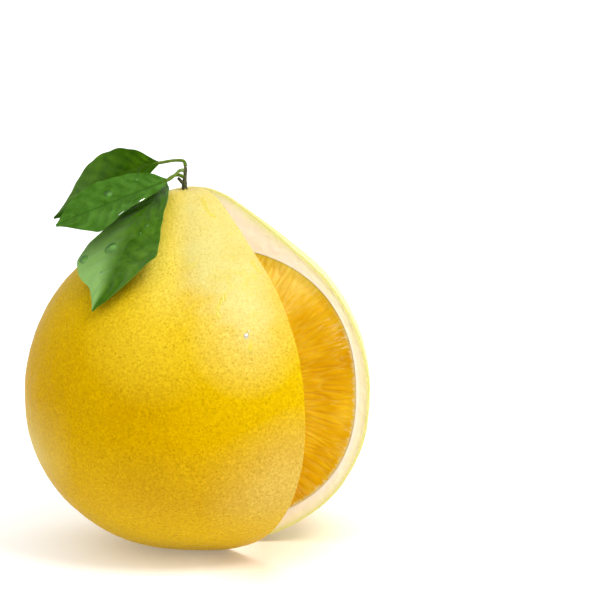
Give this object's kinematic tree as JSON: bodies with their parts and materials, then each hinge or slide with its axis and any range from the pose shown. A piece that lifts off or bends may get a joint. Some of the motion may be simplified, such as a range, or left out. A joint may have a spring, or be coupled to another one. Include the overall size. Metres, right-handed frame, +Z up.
{
  "type": "pomelo with a wedge cut out",
  "caption": "Large pear-topped citrus fruit standing on its base, with one wedge cut out to show thick white pith and juicy flesh, and leaves on a short twig at the neck.",
  "frame": {"origin": "middle of the flat spot on which the fruit rests, on the fruit's axis", "axes": "+Z up along the fruit's axis to the neck, +X to the side of the cut, -Y to the front"},
  "size_m": [0.1586, 0.1586, 0.1808],
  "materials": {
    "peel": "satin",
    "pith": "matte",
    "flesh": "gloss",
    "twig": "matte",
    "leaf_dark": "satin",
    "leaf": "satin"
  },
  "bodies": {
    "root": {"peel": "peel", "pith": "pith", "flesh": "flesh", "twig": "twig", "leaf_back": "leaf_dark", "leaf_middle": "leaf", "leaf_front": "leaf"}
  },
  "joints": []
}
